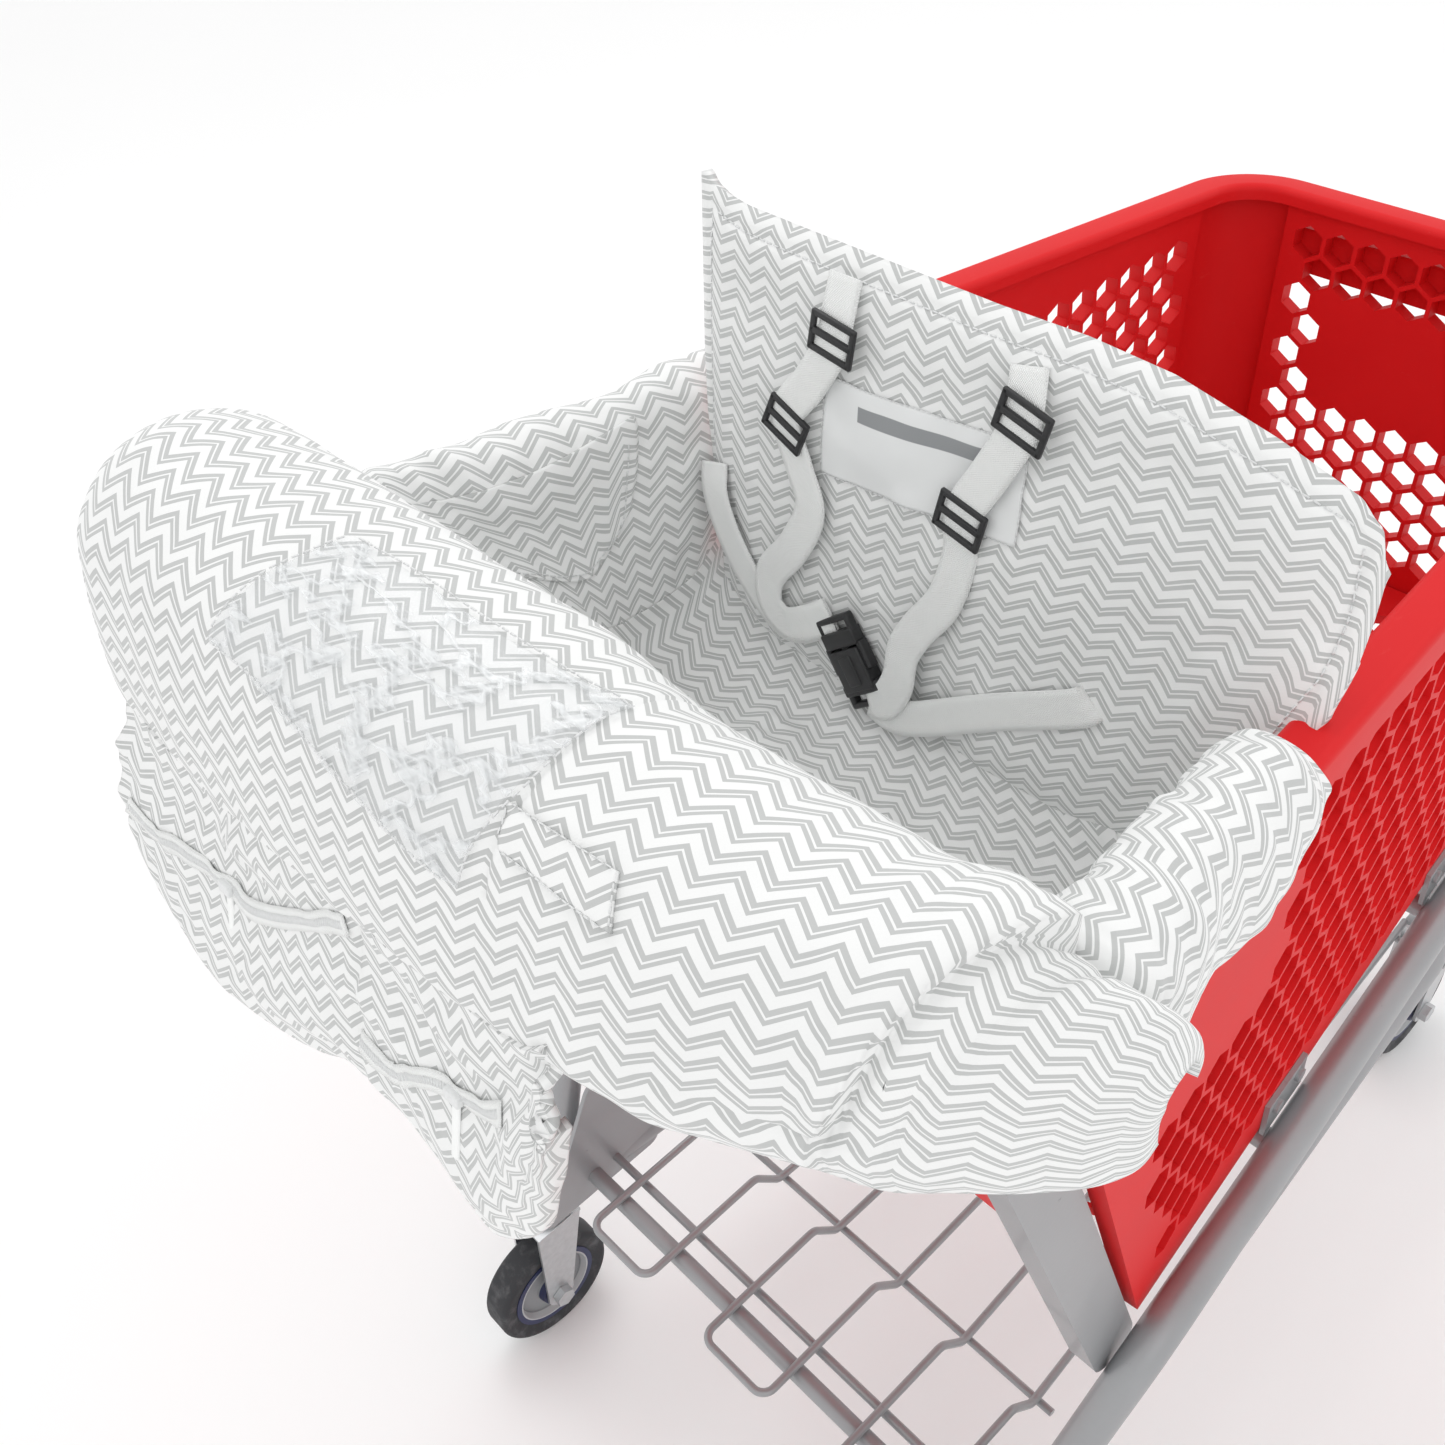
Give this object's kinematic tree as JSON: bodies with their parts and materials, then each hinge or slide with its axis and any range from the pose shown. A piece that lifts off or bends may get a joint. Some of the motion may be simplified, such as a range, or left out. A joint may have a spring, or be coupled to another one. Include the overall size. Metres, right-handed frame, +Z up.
{
  "type": "shopping cart",
  "caption": "Nesting shopping cart with a honeycomb plastic basket, tube frame, casters, fold-down child seat and padded fabric seat cover.",
  "frame": {"origin": "on the floor, under the middle of the cart's length and width", "axes": "+X to the right as the cart is pushed, +Y towards the nose, +Z up"},
  "size_m": [0.664, 1.0824, 1.0719],
  "materials": {
    "frame_paint": "satin",
    "red_plastic": "semi-gloss",
    "tyre_rubber": "matte",
    "hub_plastic": "satin",
    "black_plastic": "satin",
    "zinc_steel": "satin",
    "clear_film": "gloss",
    "white_webbing": "matte",
    "cover_fabric": "matte"
  },
  "bodies": {
    "cart": {"base_tube_left": "frame_paint", "base_tube_right": "frame_paint", "leg_tube_left": "frame_paint", "leg_tube_right": "frame_paint", "rear_post_left": "frame_paint", "rear_post_right": "frame_paint", "rear_cross_rods": "frame_paint", "front_crossbar": "frame_paint", "rear_gussets": "frame_paint", "post_bolts": "zinc_steel", "under_rails": "frame_paint", "basket_brackets": "frame_paint", "lower_rack": "frame_paint", "rack_cross_wires": "frame_paint", "handle_bar": "frame_paint", "handle_grip": "black_plastic", "handle_bracket_left": "black_plastic", "handle_bracket_right": "black_plastic", "basket_wall_left": "red_plastic", "basket_wall_right": "red_plastic", "basket_nose": "red_plastic", "basket_floor": "red_plastic", "basket_rim": "red_plastic", "basket_corners": "red_plastic", "nose_bumper": "red_plastic", "gate_rod": "zinc_steel", "rear_fork_left": "zinc_steel", "rear_fork_right": "zinc_steel", "axle_rear_left": "zinc_steel", "axle_rear_right": "zinc_steel", "cover_roll": "cover_fabric", "phone_window": "clear_film", "cover_pocket": "cover_fabric"},
    "gate": {"gate_panel": "red_plastic", "seat_pivot_rod": "zinc_steel", "cover_apron": "cover_fabric", "wing_left": "cover_fabric", "wing_right": "cover_fabric"},
    "seat_back": {"seat_back_frame": "red_plastic", "back_pad": "cover_fabric", "shoulder_straps": "white_webbing", "waist_strap": "white_webbing", "buckle_body": "black_plastic"},
    "seat_pan": {"seat_pan": "red_plastic", "seat_pad": "cover_fabric"},
    "buckle_tongue": {"buckle_tongue": "black_plastic"},
    "swivel_left": {"front_fork_left": "zinc_steel", "axle_front_left": "zinc_steel"},
    "swivel_right": {"front_fork_right": "zinc_steel", "axle_front_right": "zinc_steel"},
    "wheel_front_left": {"tyre_front_left": "tyre_rubber", "hub_front_left": "hub_plastic"},
    "wheel_front_right": {"tyre_front_right": "tyre_rubber", "hub_front_right": "hub_plastic"},
    "wheel_rear_left": {"tyre_rear_left": "tyre_rubber", "hub_rear_left": "hub_plastic"},
    "wheel_rear_right": {"tyre_rear_right": "tyre_rubber", "hub_rear_right": "hub_plastic"},
    "zip_left": {"zip_pull_left": "white_webbing"},
    "zip_right": {"zip_pull_right": "white_webbing"}
  },
  "joints": [
    {"name": "gate_swing", "type": "hinge", "parent": "cart", "child": "gate", "pos_m": [0, -0.35308, 0.925], "axis": [1, 0, 0], "range_deg": [0, 60], "deforming": ["cover_apron", "wing_left", "wing_right"]},
    {"name": "seat_fold", "type": "hinge", "parent": "gate", "child": "seat_back", "pos_m": [0, -0.22922, 0.6], "axis": [1, 0, 0], "range_deg": [0, 25], "deforming": ["cover_apron", "wing_left", "wing_right", "seat_pad", "back_pad"]},
    {"name": "pan_fold", "type": "hinge", "parent": "seat_back", "child": "seat_pan", "pos_m": [0, -0.10522, 0.748], "axis": [1, 0, 0], "range_deg": [-64, 0]},
    {"name": "buckle_release", "type": "slide", "parent": "seat_back", "child": "buckle_tongue", "axis": [-0.6157, 0.0925, 0.7826], "range_m": [0, 0.022]},
    {"name": "swivel_left_turn", "type": "hinge", "parent": "cart", "child": "swivel_left", "pos_m": [-0.16, 0.50378, 0.2], "axis": [0, 0, 1], "continuous": true},
    {"name": "swivel_right_turn", "type": "hinge", "parent": "cart", "child": "swivel_right", "pos_m": [0.16, 0.50378, 0.2], "axis": [0, 0, 1], "continuous": true},
    {"name": "wheel_front_left_spin", "type": "hinge", "parent": "swivel_left", "child": "wheel_front_left", "pos_m": [-0.16, 0.47378, 0.0635], "axis": [1, 0, 0], "continuous": true},
    {"name": "wheel_front_right_spin", "type": "hinge", "parent": "swivel_right", "child": "wheel_front_right", "pos_m": [0.16, 0.47378, 0.0635], "axis": [1, 0, 0], "continuous": true},
    {"name": "wheel_rear_left_spin", "type": "hinge", "parent": "cart", "child": "wheel_rear_left", "pos_m": [-0.262, -0.37822, 0.0635], "axis": [1, 0, 0], "continuous": true},
    {"name": "wheel_rear_right_spin", "type": "hinge", "parent": "cart", "child": "wheel_rear_right", "pos_m": [0.262, -0.37822, 0.0635], "axis": [1, 0, 0], "continuous": true},
    {"name": "zip_left_slide", "type": "slide", "parent": "cart", "child": "zip_left", "axis": [1, 0, 0], "range_m": [0, 0.1]},
    {"name": "zip_right_slide", "type": "slide", "parent": "cart", "child": "zip_right", "axis": [1, 0, 0], "range_m": [-0.1, 0]}
  ],
  "couplings": [
    {"joint": "pan_fold", "follows": "seat_fold", "ratio": -2.49}
  ]
}
